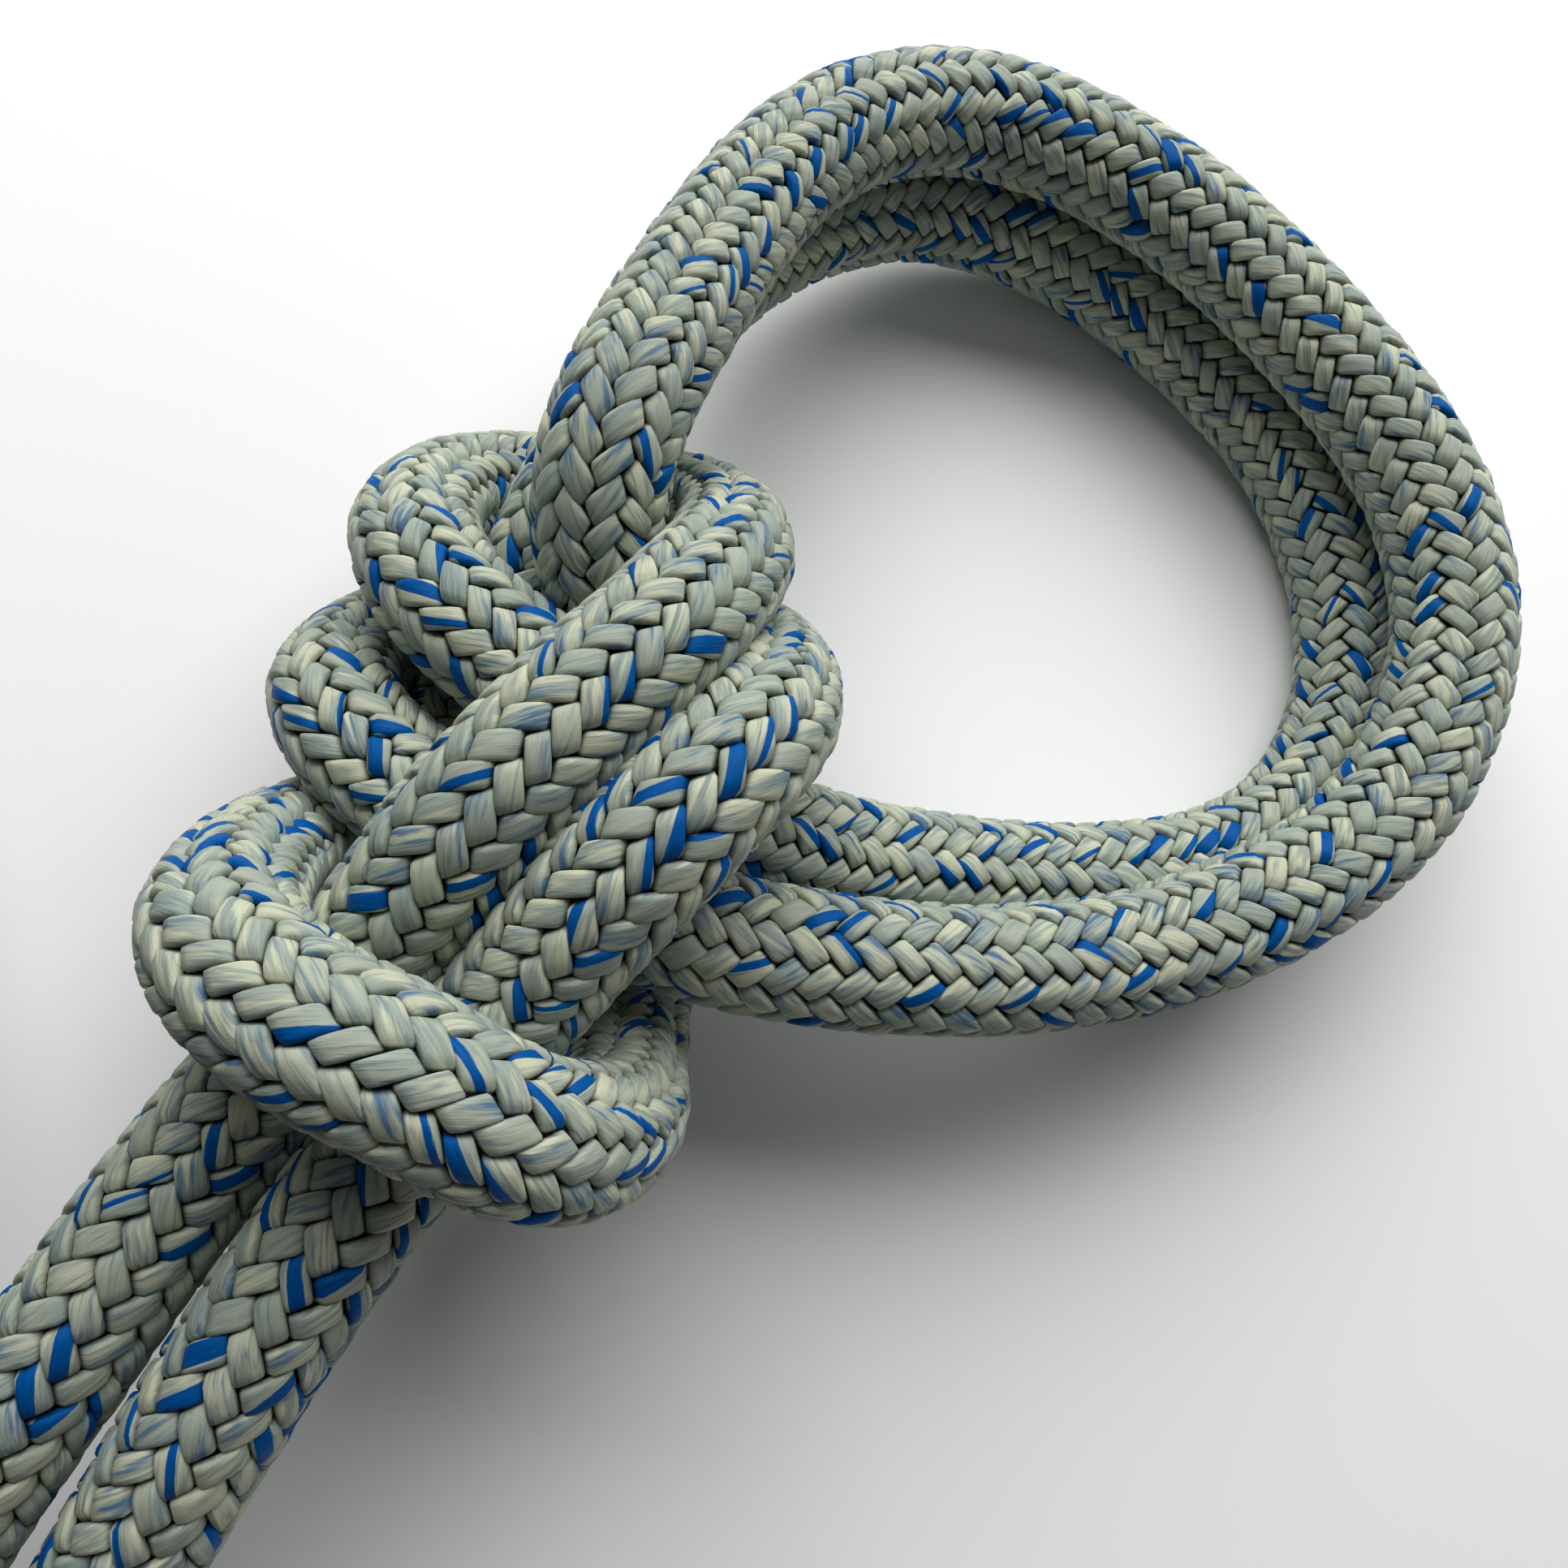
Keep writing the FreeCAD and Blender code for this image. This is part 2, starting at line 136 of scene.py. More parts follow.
# Greatest chance differences between floats: in width, in height in metres, and in slant
FLOAT_SWELL, FLOAT_LIFT, FLOAT_LEAN = 0.07, 0.00009, 0.1
# How far rows of faces move towards the dives of a yarn, in crossings
ROW_SHIFT = 0.16
# How much deeper the edges of a yarn count for the painted shade that darkens it by its depth
EDGE_DEPTH = 0.62
# Distance between the flat shapes that become yarns and stitches
SPACING = 4.0

# Sleeve: how much of its diameter the relief takes to fade in
RELIEF_FADE = 0.0004
# Melted end: powers that square its rim and its face, its furrows, its lumps and its hollow
SEAL_RIM, SEAL_FACE = 0.42, 0.62
SEAL_FURROWS, FURROW_DEPTH = 24.0, 0.012
SEAL_LUMPS, SEAL_SMALL_LUMPS, SEAL_HOLLOW = 2.3, 6.0, 0.22
# How far the lumps widen it, and shares of its length: its middle, face, lumps and small lumps
SEAL_SWELL, SEAL_HEIGHTS = 0.03, (0.22, 0.62, 0.16, 0.06)

# Strap: step of its line, gaps above and below its inner end, and the run in which it laps
STRAP_STEP, STRAP_TOP_GAP, STRAP_LOW_GAP, LAP_RUN = 0.0002, 0.0065, 0.002, 0.0055
# Length of its rounded tips, how much narrower and thinner they end, and the height of its ribs
TIP_ROUNDING, TIP_NARROWING, TIP_THINNING, RIB_HEIGHT = 0.0025, 0.3, 0.35, 0.00004
# Stitches: distances from the strap's edges, from the tongue's start and tip, and of cross rows
STITCH_EDGE, STITCH_START, STITCH_END, CROSS_ROW = 0.0021, 0.0085, 0.0032, 0.0013
# Half length of a stitch as a share of its room, then its half width, half height, lift and dip
STITCH_SHARE, STITCH_WIDE, STITCH_HIGH = 0.42, 0.00031, 0.00024
STITCH_LIFT, STITCH_DIP = 0.00006, 0.00012

# Places and sizes of the lights, the point they shine at, and the camera's directions
KEY_PLACE, KEY_SIZE = (0.06, 0.36, 0.37), (0.75, 0.42)
FILL_PLACE, FILL_SIZE = (0.35, -0.25, 0.35), (0.5, 0.5)
LIGHT_AIM = (-0.02, -0.02, 0.0)
CAMERA_RIGHT, CAMERA_FORWARD = (0.9974, 0.0, 0.0715), (0.07, 0.2011, -0.9771)

RopeLine = collections.namedtuple("RopeLine", "length place side over ends")


def amount(name, description, default, unit="NONE"):
    """A setting that holds one number."""
    return FloatProperty(name=name, description=description, default=default, unit=unit)


def metres(name, description, default):
    """A setting in metres."""
    return amount(name, description, default, unit="LENGTH")


def tint(name, description, default):
    """A setting that holds a colour."""
    return FloatVectorProperty(
        name=name, description=description, default=default, subtype="COLOR")


class RopeSettings(bpy.types.PropertyGroup):
    """Sizes and colours of the braided sheath."""
    crown_diameter: metres("Crown diameter", "Diameter over the crowns of the yarns", 0.0116)
    coil_crown_diameter: metres(
        "Coiled crown diameter", "Diameter over the crowns where turns press together", 0.0111)
    end_crown_diameter: metres(
        "End crown diameter", "Diameter over the crowns inside an end sleeve", 0.0105)
    yarns_each_way: IntProperty(
        name="Yarns each way", description="Number of yarns that wind in each direction",
        default=12)
    yarn_fill: amount("Yarn fill", "Width of a yarn as a share of the room it has", 1.04)
    yarn_depth: metres("Yarn depth", "How far a yarn dips below the ones that cross it", 0.00098)
    yarn_rounding: metres(
        "Yarn rounding", "How far the edges of a yarn fall below its crown", 0.00046)
    yarn_arch: metres("Yarn arch", "How far a float falls from its middle to its ends", 0.00028)
    dip_sharpness: amount("Dip sharpness", "How suddenly a yarn dips at the end of a float", 6.5)
    dip_lead: amount("Dip lead", "How early a yarn dips, before the middle of the crossing", 0.16)
    ply_slant: FloatVectorProperty(
        name="Ply slant", description="Least and greatest slant of the plies, in widths per width",
        size=2, default=(0.05, 0.42))
    blue_share: amount("Blue share", "Share of the floats that hold a bright blue ply", 0.22)
    blue_width: FloatVectorProperty(
        name="Blue width",
        description="Least and greatest half width of a blue ply, in widths of yarn",
        size=2, default=(0.08, 0.33))
    core_radius_share: amount(
        "Core radius share", "Radius under the yarns as a share of the crown radius", 0.76)
    cream: tint("Cream yarn", "Colour of the pale filaments", (0.52, 0.538, 0.398))
    slate: tint("Slate yarn", "Colour of the grey blue filaments", (0.12, 0.19, 0.212))
    blue: tint("Blue yarn", "Colour of the bright blue filaments", (0.0, 0.085, 0.32))
    dull_blue: tint("Faded blue yarn", "Colour of the thin blue filaments", (0.05, 0.14, 0.27))
    # Painted shade: colour of the tube under the yarns, standing for the shadow between them
    shade: tint("Shade", "Colour seen between the yarns", (0.014, 0.02, 0.018))


class EndSettings(bpy.types.PropertyGroup):
    """Sizes and colours of the end sleeves, the melted ends and the straps."""
    sleeve_diameter: metres("Sleeve diameter", "Diameter over an end sleeve", 0.01156)
    sleeve_wall: metres("Sleeve wall", "Thickness of an end sleeve", 0.0005)
    sleeve_setback: metres("Sleeve setback", "Distance from the rope's end to its sleeve", 0.003)
    sleeve_length: metres("Sleeve length", "Length of an end sleeve", 0.024)
    sleeve_relief: metres("Sleeve relief", "How far the braid shows through a sleeve", 0.00006)
    seal_diameter: metres("Melted end diameter", "Diameter of the melted end", 0.0107)
    seal_length: metres("Melted end length", "How far the melted end stands out", 0.0019)
    strap_width: metres("Strap width", "Width of the webbing", 0.016)
    strap_thickness: metres("Strap thickness", "Thickness of the webbing", 0.0012)
    strap_corner: metres(
        "Strap corner", "Radius of the webbing's middle at the coil's corners", 0.00615)
    tongue_length: metres("Tongue length", "Length of webbing lapped outside", 0.026)
    rib_pitch: metres("Rib pitch", "Distance between the ribs of the webbing", 0.00145)
    stitch_length: metres("Stitch length", "Distance between stitches", 0.0026)
    sleeve_colour: tint("Sleeve colour", "Colour of the shrunk sleeves", (0.022, 0.024, 0.028))
    seal_colour: tint("Melted end colour", "Colour of the melted yarn", (0.24, 0.235, 0.16))
    strap_colour: tint("Strap colour", "Colour of the webbing", (0.03, 0.033, 0.04))
    thread_colour: tint("Thread colour", "Colour of the stitches", (0.11, 0.115, 0.125))


class StageSettings(bpy.types.PropertyGroup):
    """Floor, lights and camera."""
    floor_size: metres("Floor size", "Side of the floor", 6.0)
    floor_colour: tint("Floor colour", "Colour of the floor", (0.93, 0.93, 0.93))
    focal_length: amount("Focal length", "Focal length of the camera in millimetres", 26.09)
    camera_place: FloatVectorProperty(
        name="Camera place", description="Where the camera stands", subtype="TRANSLATION",
        default=(-0.0335, -0.0503, 0.1181))
    key_power: amount("Key power", "Power of the main soft light", 5.0)
    fill_power: amount("Fill power", "Power of the fill light", 0.06)
    sky_strength: amount("Sky strength", "Brightness of the surroundings", 0.08)


class Signal:
    """A shader socket that arithmetic can be written on."""

    def __init__(self, nodes, socket):
        self.nodes = nodes
        self.socket = socket

    def __add__(self, other):
        return self.nodes.math("ADD", self, other)

    def __sub__(self, other):
        return self.nodes.math("SUBTRACT", self, other)

    def __rsub__(self, other):
        return self.nodes.math("SUBTRACT", other, self)

    def __mul__(self, other):
        return self.nodes.math("MULTIPLY", self, other)

    __radd__ = __add__
    __rmul__ = __mul__


class Nodes:
    """The node tree of one material, built with plain calls."""

    def __init__(self, name):
        self.material = bpy.data.materials.new(name)
        self.material.use_nodes = True
        self.tree = self.material.node_tree
        self.shader = self.tree.nodes["Principled BSDF"]

    def feed(self, socket, value):
        """Link a signal to a socket, or set its own value."""
        if isinstance(value, Signal):
            self.tree.links.new(value.socket, socket)
        else:
            socket.default_value = value

    def node(self, kind, settings=None, inputs=None, output=0):
        """Add a node with its settings and inputs, and give one output."""
        made = self.tree.nodes.new("ShaderNode" + kind)
        for name, value in (settings or {}).items():
            setattr(made, name, value)
        for name, value in (inputs or {}).items():
            self.feed(made.inputs[name], value)
        return Signal(self, made.outputs[output])

    def math(self, operation, *values):
        """A Math node on up to three values."""
        return self.node("Math", {"operation": operation}, dict(enumerate(values)))

    def mix(self, factor, first, second, blend="MIX"):
        """Blend two colours, each a signal or three numbers."""
        first, second = (
            colour if isinstance(colour, Signal) else (*colour, 1.0) for colour in (first, second))
        settings = {"data_type": "RGBA", "blend_type": blend}
        # The node's colours are its inputs 6 and 7 and its output 2
        return self.node("Mix", settings, {0: factor, 6: first, 7: second}, 2)

    def step(self, value, low, high):
        """Smooth step from 0 at low to 1 at high."""
        settings = {"interpolation_type": "SMOOTHSTEP"}
        return self.node("MapRange", settings, {"Value": value, "From Min": low, "From Max": high})

    def noise(self, vector, scale=1.0, detail=2.0, roughness=0.5):
        """Noise about 0.5 at the given scale."""
        inputs = {"Vector": vector, "Scale": scale, "Detail": detail, "Roughness": roughness}
        return self.node("TexNoise", None, inputs)

    def vector(self, x, y, z):
        """A vector of three values."""
        return self.node("CombineXYZ", None, {0: x, 1: y, 2: z})

    def split(self, vector):
        """The three values of a vector."""
        return [self.node("SeparateXYZ", None, {0: vector}, index) for index in range(3)]

    def attribute(self, name, output="Fac"):
        """What the mesh keeps under a name."""
        return self.node("Attribute", {"attribute_name": name}, output=output)

    def place(self):
        """The object's own coordinates."""
        return self.node("TexCoord", output="Object")

    def bump(self, height, distance, strength):
        """Send a height to the shader's normal, with its distance in metres."""
        inputs = {"Height": height, "Distance": distance, "Strength": strength}
        self.feed(self.shader.inputs["Normal"], self.node("Bump", None, inputs))

    def set(self, **values):
        """Feed the shader's sockets, named with underscores for spaces."""
        for name, value in values.items():
            if isinstance(value, tuple):
                value = (*value, 1.0)
            self.feed(self.shader.inputs[name.replace("_", " ")], value)


def shaded(colour, share):
    """A colour made darker or lighter."""
    return tuple(part * share for part in colour)


@functools.cache
def yarn_material():
    """Yarn of parallel filaments in cream, slate and blue, drawn anew for each float."""
    rope = bpy.context.scene.rope
    nodes = Nodes("braid_yarn")
    across, along, chance = nodes.split(nodes.attribute("yarn_place", "Vector"))
    height = nodes.attribute("yarn_height")
    twist = nodes.attribute("yarn_twist")
    # Four further chances of each float
    held, beside, wide, tone = (
        nodes.math("FRACT", chance * factor) for factor in (7.31, 23.7, 61.3, 113.9))
    own = chance * 57.0
    twisted = across + along * twist
    strand = nodes.noise(nodes.vector(twisted * 5.0, along * 0.3, own))
    fibre = nodes.noise(nodes.vector(twisted * 36.0, along * 1.3, own + 9.0), 1.0, 2.5, 0.55)
    hair = nodes.step(fibre, 0.28, 0.72)
    cloud = nodes.noise(nodes.vector(twisted * 2.3, along * 0.45, own + 3.0))
    thin = nodes.noise(nodes.vector(twisted * 3.8, along * 0.34, own + 6.0), 1.0, 3.0, 0.6)
    edge = (strand - 0.5) * 0.24 + (fibre - 0.5) * 0.1
    least, most = rope.blue_width
    away = nodes.math("ABSOLUTE", twisted + edge - beside) - (least + (most - least) * wide)
    blue = nodes.math("LESS_THAN", held, rope.blue_share) * (1.0 - nodes.step(away, -0.015, 0.02))
    hazy = nodes.step(held, 0.5, 0.62) * 0.8 + 0.2
    haze = nodes.step(thin, 0.46, 0.62) * nodes.step(cloud, 0.4, 0.6) * hazy
    cover = nodes.math(
        "MAXIMUM", nodes.step(cloud, 0.44, 0.58) * (0.22 + 0.6 * strand),
        nodes.step(tone, 0.35, 0.85) * (0.18 + 0.5 * strand))
    cover = nodes.math("MAXIMUM", cover, nodes.step(strand, 0.5, 0.66) * 0.72)
    pale = nodes.mix(hair, shaded(rope.cream, 0.88), shaded(rope.cream, 1.08))
    grey = nodes.mix(hair, shaded(rope.slate, 0.86), shaded(rope.slate, 1.3))
    deep = nodes.mix(hair, shaded(rope.blue, 0.72), shaded(rope.blue, 1.18))
    colour = nodes.mix(cover, pale, grey)
    colour = nodes.mix(haze * 0.85, colour, rope.dull_blue)
    colour = nodes.mix(blue, colour, deep)
    # Painted shade: the yarn is darkened where it dips under others and at its edges, by its depth
    # mask
    painted_dip_shade = nodes.mix(1.0, colour, (0.06, 0.07, 0.065), "MULTIPLY")
    colour = nodes.mix(nodes.step(height, 0.7, 0.15), colour, painted_dip_shade)
    nodes.set(Base_Color=colour, Roughness=0.56 - 0.12 * fibre, Specular_IOR_Level=0.07)
    nodes.bump(fibre * 0.6 + strand * 0.8, 0.00007, 0.8)
    return nodes.material


@functools.cache
def shade_material():
    """Tube painted in a dark shade colour, standing for the shadow seen between the yarns."""
    rope = bpy.context.scene.rope
    nodes = Nodes("braid_painted_shade")
    grain = nodes.noise(nodes.place(), 900.0, 3.0)
    nodes.set(Base_Color=nodes.mix(grain, rope.shade, shaded(rope.shade, 2.0)), Roughness=0.9)
    return nodes.material


@functools.cache
def sleeve_material():
    """Dark satin sleeve, rubbed duller in places."""
    ends = bpy.context.scene.ends
    nodes = Nodes("shrunk_sleeve")
    place = nodes.place()
    rub = nodes.noise(place, 210.0, 4.0, 0.6)
    grain = nodes.noise(place, 1900.0)
    wear = nodes.step(rub, 0.5, 0.7)
    nodes.set(Base_Color=nodes.mix(wear, ends.sleeve_colour, shaded(ends.sleeve_colour, 2.3)),
              Roughness=0.34 + 0.22 * wear, Specular_IOR_Level=0.5)
    nodes.bump(grain * 0.5 + rub, 0.00006, 0.6)
    return nodes.material


@functools.cache
def melted_material():
    """Yarn melted to a glossy lump, browned in spots."""
    ends = bpy.context.scene.ends
    nodes = Nodes("melted_yarn")
    place = nodes.place()
    cloud = nodes.noise(place, 330.0, 3.0, 0.6)
    fleck = nodes.noise(place, 1100.0, 3.0, 0.6)
    colour = nodes.mix(
        nodes.step(cloud, 0.4, 0.62), ends.seal_colour, shaded(ends.seal_colour, 1.7))
    colour = nodes.mix(nodes.step(fleck, 0.6, 0.68), colour, (0.035, 0.06, 0.1))
    colour = nodes.mix(nodes.step(cloud * fleck, 0.31, 0.37), colour, (0.055, 0.036, 0.02))
    nodes.set(Base_Color=colour, Roughness=0.26 + 0.25 * fleck, Specular_IOR_Level=0.55)
    nodes.bump(fleck + cloud * 0.6, 0.00012, 0.8)
    return nodes.material


@functools.cache
def webbing_material():
    """Flat woven webbing: bundles that run along it, crossed by its ribs."""
    ends = bpy.context.scene.ends
    nodes = Nodes("strap_webbing")
    across, along, layer = nodes.split(nodes.attribute("weave_place", "Vector"))
    bundle = across * 11.0
    number = nodes.math("FLOOR", bundle)
    shifted = along + nodes.math("FLOORED_MODULO", number, 2.0) * 0.5
    crown = nodes.math("ABSOLUTE", nodes.math("SINE", bundle * math.pi))
    rib = nodes.math("ABSOLUTE", nodes.math("SINE", shifted * math.pi))
    height = nodes.math("POWER", crown, 0.6) * nodes.math("POWER", rib, 0.5)
    thread = nodes.noise(nodes.vector(across * 90.0, along * 1.6, layer * 7.0), 1.0, 3.0, 0.6)
    fade = nodes.noise(nodes.vector(across * 2.0, along * 0.11, layer * 3.0))
    colour = nodes.mix(thread, ends.strap_colour, shaded(ends.strap_colour, 1.7))
    # Painted shade: the weave's hollows between bundles and ribs are darkened
    colour = nodes.mix(nodes.step(height, 0.72, 0.25), colour, shaded(ends.strap_colour, 0.28))
    faded = nodes.step(fade, 0.45, 0.75) * 0.35
    colour = nodes.mix(faded, colour, shaded(ends.strap_colour, 3.0))
    nodes.set(Base_Color=colour, Roughness=0.78 - 0.16 * thread, Sheen_Weight=0.08,
              Sheen_Roughness=0.4)
    nodes.bump(height + thread * 0.35, 0.00022, 0.9)
    return nodes.material


@functools.cache
def thread_material():
    """Twisted sewing thread."""
    ends = bpy.context.scene.ends
    nodes = Nodes("sewing_thread")
    place = nodes.place()
    ply = nodes.noise(place, 2600.0)
    colour = nodes.mix(ply, shaded(ends.thread_colour, 0.5), shaded(ends.thread_colour, 1.5))
    nodes.set(Base_Color=colour, Roughness=0.55)
    nodes.bump(ply, 0.00005, 0.6)
    return nodes.material


def floor_material():
    """Plain pale floor."""
    stage = bpy.context.scene.stage
    nodes = Nodes("plain_floor")
    nodes.set(Base_Color=tuple(stage.floor_colour), Roughness=0.9, Specular_IOR_Level=0.1)
    return nodes.material


def mesh_from(bm, name):
    """A mesh with what a bmesh holds, which is freed."""
    mesh = bpy.data.meshes.new(name)
    bm.to_mesh(mesh)
    bm.free()
    return mesh


def coordinates(mesh):
    """Coordinates of a mesh's vertices."""
    found = np.empty(len(mesh.vertices) * 3)
    mesh.vertices.foreach_get("co", found)
    return found.reshape(-1, 3)


def place_vertices(mesh, points):
    """Move a mesh's vertices to the given points."""
    mesh.vertices.foreach_set("co", points.ravel())


def keep(mesh, name, values):
    """Keep a number or a vector of each vertex for the materials."""
    kind, field = ("FLOAT", "value") if values.ndim == 1 else ("FLOAT_VECTOR", "vector")
    mesh.attributes.new(name, kind, "POINT").data.foreach_set(field, values.ravel())


def smooth(mesh):
    """Shade every face of a mesh smooth."""
    mesh.polygons.foreach_set("use_smooth", np.ones(len(mesh.polygons), dtype=bool))
    return mesh


def distances(points):
    """Distance along a line up to each of its points."""
    steps = np.linalg.norm(np.diff(points, axis=0), axis=1)
    return np.concatenate(([0.0], np.cumsum(steps)))


def between(at, length, rows):
    """Rows at some distances, from the rows at known ones."""
    return np.stack([np.interp(at, length, column) for column in rows.T], axis=1)


def unit(rows):
    """Vectors scaled to a length of one."""
    return rows / np.linalg.norm(rows, axis=1)[:, None]


def coil_place(turns, spread=1.0):
    """Point of the coil's line after some turns, moved out by a factor."""
    period = LAYER_TURNS + COIL_RISE_TURNS
    layer = min(int(turns / period), COIL_LAYERS - 1)
    along = turns - layer * period
    sign = -1.0 if layer % 2 == 0 else 1.0
    start_radius = COIL_RADIUS - sign * COIL_PITCH * LAYER_TURNS / 2.0
    height = COIL_BASE_Z + layer * COIL_PITCH
    moved = along
    if along > LAYER_TURNS and layer < COIL_LAYERS - 1:
        share = (along - LAYER_TURNS) / COIL_RISE_TURNS
        moved = LAYER_TURNS + share * (1.0 - share) / 2.0
        height += COIL_PITCH * share * share * (3.0 - 2.0 * share)
    radius = (start_radius + sign * COIL_PITCH * moved) * spread
    angle = math.radians(COIL_START_ANGLE - 360.0 * turns)
    x, y = COIL_CENTRE
    return Vector((x + radius * math.cos(angle), y + radius * math.sin(angle), height))


def coil_heading(turns):
    """Direction of the coil's line after some turns."""
    before = max(turns - HEADING_STEP, 0.0)
    return (coil_place(turns + HEADING_STEP) - coil_place(before)).normalized()


@functools.cache
def route_points():
    """Control points of the whole rope, and how many there are up to each stretch's end."""
    points, counts = [], []
    for _, stretch in ROUTE:
        points.extend(Vector(value / 1000.0 for value in point) for point in stretch)
        counts.append(len(points))
    points.append(coil_place(0.0) - coil_heading(0.0) * COIL_LEAD)
    counts[-1] += 1
    spread = 1.0 / math.cos(math.pi / COIL_POINTS_PER_TURN)
    points.extend(coil_place((index + 0.5) / COIL_POINTS_PER_TURN, spread)
                  for index in range(int(COIL_TURNS * COIL_POINTS_PER_TURN)))
    heading = coil_heading(COIL_TURNS - HEADING_STEP)
    points.append(coil_place(COIL_TURNS) + heading * COIL_END_RUN)
    return points, counts


def line_through(points):
    """Points along a NURBS line whose control points are given."""
    curve = bpy.data.curves.new("route", "CURVE")
    curve.dimensions = "3D"
    curve.resolution_u = CURVE_STEPS
    spline = curve.splines.new("NURBS")
    spline.points.add(len(points) - 1)
    for target, point in zip(spline.points, points):
        target.co = (*point, 1.0)
    spline.order_u = 3
    spline.use_endpoint_u = True
    holder = bpy.data.objects.new("route", curve)
    mesh = bpy.data.meshes.new_from_object(holder)
    found = coordinates(mesh)
    bpy.data.meshes.remove(mesh)
    bpy.data.objects.remove(holder)
    bpy.data.curves.remove(curve)
    return found


@functools.cache
def rope_line():
    """Evenly spaced places on the rope's line, with two directions across it at each."""
    points, counts = route_points()
    raw = line_through(points)
    raw = raw[np.concatenate(([True], np.diff(distances(raw)) > SAME_PLACE))]
    reach = distances(raw)
    count = int(reach[-1] / SAMPLE_STEP) + 1
    length = np.linspace(0.0, reach[-1], count)
    place = between(length, reach, raw)
    # The headings are averaged over five places
    padded = np.pad(np.gradient(place, axis=0), ((2, 2), (0, 0)), mode="edge")
    heading = unit(np.stack(
        [np.convolve(column, np.ones(5) / 5, "valid") for column in padded.T], axis=1))
    side = np.zeros_like(place)
    first = np.cross(heading[0], (0.0, 0.0, 1.0))
    side[0] = first / np.linalg.norm(first)
    for index in range(1, count):
        turned = side[index - 1] - heading[index] * np.dot(side[index - 1], heading[index])
        side[index] = turned / np.linalg.norm(turned)
    over = np.cross(heading, side)
    faces = [(points[before - 1] + points[before]) / 2.0 for before in counts]
    faces[-1] = coil_place(0.0) - coil_heading(0.0) * ROPE_DIAMETER
    ends = [length[np.argmin(np.linalg.norm(place - np.array(face), axis=1))] for face in faces]
    return RopeLine(length, place, side, over, ends)


@functools.cache
def braid_turns():
    """Lay length, and turns of a yarn so far, at each place along the rope."""
    length = rope_line().length
    lay = np.interp(length, *zip(*LAY))
    steps = (1.0 / lay[1:] + 1.0 / lay[:-1]) / 2.0 * np.diff(length)
    return lay, np.concatenate(([0.0], np.cumsum(steps)))


def stretch_spans():
    """Start and end along the rope of each stretch and each piece of the coil."""
    line = rope_line()
    spans, start = {}, 0.0
    for (name, _), end in zip(ROUTE, line.ends):
        spans[name] = (start, end)
        start = end
    size = (line.length[-1] - start) / COIL_PIECES
    for index in range(COIL_PIECES):
        spans["coil_%d" % (index + 1)] = (start + index * size, start + (index + 1) * size)
    return spans


def on_rope(along, angle, radius):
    """Points at a distance along the rope, an angle round it and a radius from its line."""
    line = rope_line()
    along = np.clip(along, 0.0, line.length[-1])
    middle, across, up = (
        between(along, line.length, part) for part in (line.place, line.side, line.over))
    return middle + radius[:, None] * (
        np.cos(angle)[:, None] * across + np.sin(angle)[:, None] * up)


def settle(points):
    """Press the points that would lie below the floor flat on it, smoothly."""
    height = points[:, 2]
    eased = FLOOR_EASE * np.exp((height - FLOOR_EASE) / FLOOR_EASE)
    points[:, 2] = np.where(height < FLOOR_EASE, eased, height)
    return points


def crown_radius(along):
    """Radius over the yarns' crowns along the rope."""
    rope = bpy.context.scene.rope
    free, coiled, ended = (size / 2.0 for size in (
        rope.crown_diameter, rope.coil_crown_diameter, rope.end_crown_diameter))
    total = rope_line().length[-1]
    coil_start = rope_line().ends[-1]
    stops = (SLEEVED_RUN, FREE_FROM, coil_start - COIL_RUN_IN, coil_start,
             total - FREE_FROM, total - SLEEVED_RUN)
    return np.interp(along, stops, (ended, free, free, coiled, coiled, ended))


# Section of a yarn: places across it, and falls below its crown in shares of its rounding
RIBBON_FINE = ((-0.5, 1.6), (-0.475, 0.64), (-0.42, 0.23), (-0.29, 0.05),
               (0.29, 0.05), (0.42, 0.23), (0.475, 0.64), (0.5, 1.6))
RIBBON_PLAIN = ((-0.5, 1.3), (-0.38, 0.22), (0.38, 0.22), (0.5, 1.3))


def add_grid(bm, columns, rows, shift):
    """Add a flat grid of one unit, moved along X, to be laid on the rope later."""
    bmesh.ops.create_grid(bm, x_segments=columns, y_segments=rows, size=0.5,
                          matrix=Matrix.Translation((shift, 0.0, 0.0)))


def hidden_dip(count):
    """Nearest count of crossings at which a yarn lies under others."""
    half = FLOAT_SPAN / 2.0
    return np.round((count - half) / FLOAT_SPAN) * FLOAT_SPAN + half


